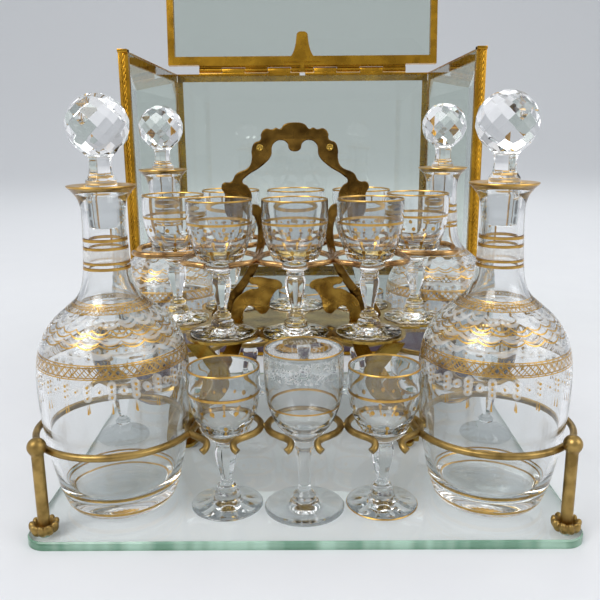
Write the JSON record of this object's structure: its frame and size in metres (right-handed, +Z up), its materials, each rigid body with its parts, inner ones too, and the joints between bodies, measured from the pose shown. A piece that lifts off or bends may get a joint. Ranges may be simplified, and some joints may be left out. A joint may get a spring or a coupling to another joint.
{
  "type": "tantalus",
  "caption": "Brass and glass tantalus: a hinged-lid case and its lift-out glass tray, with stoppered decanters and stemmed glasses held in gilt wire rings and clips.",
  "frame": {"origin": "on the table, under the middle of the whole set, case with open lid and tray", "axes": "+Z up, +Y from the tray in front to the case behind it, +X to the viewer's right"},
  "size_m": [0.346, 0.6552, 0.6026],
  "materials": {
    "case_brass": "polished, slightly aged",
    "plinth_velvet": "dark aubergine lacquered wood",
    "mirror": "mirror floor",
    "pane_glass": "clear bevelled glass",
    "tray_glass": "clear thick glass with a green polished edge",
    "foot_brass": "dark patinated brass",
    "gilt_wire": "gilt, worn",
    "rose_wire": "pale rose gilt, worn",
    "cast_brass": "cast and chased, aged",
    "shelf_brass": "satin yellow brass",
    "crystal": "clear cut and gilded glass"
  },
  "bodies": {
    "case": {"case_feet": "foot_brass", "plinth_bands": "case_brass", "plinth_panel": "plinth_velvet", "case_floor_mirror": "mirror", "front_rope_posts": "case_brass", "back_posts": "case_brass", "side_rails": "case_brass", "back_rails": "case_brass", "side_panes": "pane_glass", "back_pane": "pane_glass", "case_hinge_leaf": "case_brass", "hinge_pin": "case_brass"},
    "lid": {"lid_frame": "case_brass", "lid_pane": "pane_glass", "lid_hinge_leaf": "case_brass", "lid_stop": "case_brass", "lid_stop_screw": "case_brass"},
    "tray": {"tray_slab": "tray_glass", "tray_feet": "foot_brass", "corner_posts": "gilt_wire", "decanter_ring_fl": "gilt_wire", "decanter_ring_fr": "gilt_wire", "decanter_ring_bl": "gilt_wire", "decanter_ring_br": "gilt_wire", "lower_clips_front": "gilt_wire", "lower_clips_back": "gilt_wire", "lower_side_clips": "gilt_wire", "upper_clips_front": "rose_wire", "upper_clips_back": "rose_wire", "upper_side_clips": "rose_wire", "carrying_handle": "cast_brass", "leaf_brackets": "cast_brass", "glass_shelf": "shelf_brass", "ribbon_legs": "shelf_brass", "stand_screws": "foot_brass"},
    "decanter_fl_body": {"decanter_fl": "crystal"},
    "stopper_fl_body": {"stopper_fl": "crystal"},
    "decanter_fr_body": {"decanter_fr": "crystal"},
    "stopper_fr_body": {"stopper_fr": "crystal"},
    "decanter_bl_body": {"decanter_bl": "crystal"},
    "stopper_bl_body": {"stopper_bl": "crystal"},
    "decanter_br_body": {"decanter_br": "crystal"},
    "stopper_br_body": {"stopper_br": "crystal"},
    "lower_glass_front_left_body": {"lower_glass_front_left": "crystal"},
    "lower_glass_front_centre_body": {"lower_glass_front_centre": "crystal"},
    "lower_glass_front_right_body": {"lower_glass_front_right": "crystal"},
    "lower_glass_back_left_body": {"lower_glass_back_left": "crystal"},
    "lower_glass_back_centre_body": {"lower_glass_back_centre": "crystal"},
    "lower_glass_back_right_body": {"lower_glass_back_right": "crystal"},
    "lower_glass_side_left_body": {"lower_glass_side_left": "crystal"},
    "lower_glass_side_right_body": {"lower_glass_side_right": "crystal"},
    "upper_glass_front_left_body": {"upper_glass_front_left": "crystal"},
    "upper_glass_front_centre_body": {"upper_glass_front_centre": "crystal"},
    "upper_glass_front_right_body": {"upper_glass_front_right": "crystal"},
    "upper_glass_back_left_body": {"upper_glass_back_left": "crystal"},
    "upper_glass_back_centre_body": {"upper_glass_back_centre": "crystal"},
    "upper_glass_back_right_body": {"upper_glass_back_right": "crystal"},
    "upper_glass_side_left_body": {"upper_glass_side_left": "crystal"},
    "upper_glass_side_right_body": {"upper_glass_side_right": "crystal"}
  },
  "joints": [
    {"name": "lid_hinge", "type": "hinge", "parent": "case", "child": "lid", "pos_m": [0, 0.29694, 0.301], "axis": [1, 0, 0], "range_deg": [0, 95]},
    {"name": "tray_lift", "type": "slide", "parent": "case", "child": "tray", "axis": [0, 0, 1], "range_m": [0, 0.2]},
    {"name": "decanter_fl_lift", "type": "slide", "parent": "tray", "child": "decanter_fl_body", "axis": [0, 0, 1], "range_m": [0, 0.06]},
    {"name": "stopper_fl_pull", "type": "slide", "parent": "decanter_fl_body", "child": "stopper_fl_body", "axis": [0, 0, 1], "range_m": [0, 0.04]},
    {"name": "decanter_fr_lift", "type": "slide", "parent": "tray", "child": "decanter_fr_body", "axis": [0, 0, 1], "range_m": [0, 0.06]},
    {"name": "stopper_fr_pull", "type": "slide", "parent": "decanter_fr_body", "child": "stopper_fr_body", "axis": [0, 0, 1], "range_m": [0, 0.04]},
    {"name": "decanter_bl_lift", "type": "slide", "parent": "tray", "child": "decanter_bl_body", "axis": [0, 0, 1], "range_m": [0, 0.06]},
    {"name": "stopper_bl_pull", "type": "slide", "parent": "decanter_bl_body", "child": "stopper_bl_body", "axis": [0, 0, 1], "range_m": [0, 0.04]},
    {"name": "decanter_br_lift", "type": "slide", "parent": "tray", "child": "decanter_br_body", "axis": [0, 0, 1], "range_m": [0, 0.06]},
    {"name": "stopper_br_pull", "type": "slide", "parent": "decanter_br_body", "child": "stopper_br_body", "axis": [0, 0, 1], "range_m": [0, 0.04]},
    {"name": "lower_glass_front_left_lift", "type": "slide", "parent": "tray", "child": "lower_glass_front_left_body", "axis": [0, 0, 1], "range_m": [0, 0.03]},
    {"name": "lower_glass_front_centre_lift", "type": "slide", "parent": "tray", "child": "lower_glass_front_centre_body", "axis": [0, 0, 1], "range_m": [0, 0.03]},
    {"name": "lower_glass_front_right_lift", "type": "slide", "parent": "tray", "child": "lower_glass_front_right_body", "axis": [0, 0, 1], "range_m": [0, 0.03]},
    {"name": "lower_glass_back_left_lift", "type": "slide", "parent": "tray", "child": "lower_glass_back_left_body", "axis": [0, 0, 1], "range_m": [0, 0.03]},
    {"name": "lower_glass_back_centre_lift", "type": "slide", "parent": "tray", "child": "lower_glass_back_centre_body", "axis": [0, 0, 1], "range_m": [0, 0.03]},
    {"name": "lower_glass_back_right_lift", "type": "slide", "parent": "tray", "child": "lower_glass_back_right_body", "axis": [0, 0, 1], "range_m": [0, 0.03]},
    {"name": "lower_glass_side_left_lift", "type": "slide", "parent": "tray", "child": "lower_glass_side_left_body", "axis": [0, 0, 1], "range_m": [0, 0.03]},
    {"name": "lower_glass_side_right_lift", "type": "slide", "parent": "tray", "child": "lower_glass_side_right_body", "axis": [0, 0, 1], "range_m": [0, 0.03]},
    {"name": "upper_glass_front_left_lift", "type": "slide", "parent": "tray", "child": "upper_glass_front_left_body", "axis": [0, 0, 1], "range_m": [0, 0.03]},
    {"name": "upper_glass_front_centre_lift", "type": "slide", "parent": "tray", "child": "upper_glass_front_centre_body", "axis": [0, 0, 1], "range_m": [0, 0.03]},
    {"name": "upper_glass_front_right_lift", "type": "slide", "parent": "tray", "child": "upper_glass_front_right_body", "axis": [0, 0, 1], "range_m": [0, 0.03]},
    {"name": "upper_glass_back_left_lift", "type": "slide", "parent": "tray", "child": "upper_glass_back_left_body", "axis": [0, 0, 1], "range_m": [0, 0.03]},
    {"name": "upper_glass_back_centre_lift", "type": "slide", "parent": "tray", "child": "upper_glass_back_centre_body", "axis": [0, 0, 1], "range_m": [0, 0.03]},
    {"name": "upper_glass_back_right_lift", "type": "slide", "parent": "tray", "child": "upper_glass_back_right_body", "axis": [0, 0, 1], "range_m": [0, 0.03]},
    {"name": "upper_glass_side_left_lift", "type": "slide", "parent": "tray", "child": "upper_glass_side_left_body", "axis": [0, 0, 1], "range_m": [0, 0.03]},
    {"name": "upper_glass_side_right_lift", "type": "slide", "parent": "tray", "child": "upper_glass_side_right_body", "axis": [0, 0, 1], "range_m": [0, 0.03]}
  ]
}
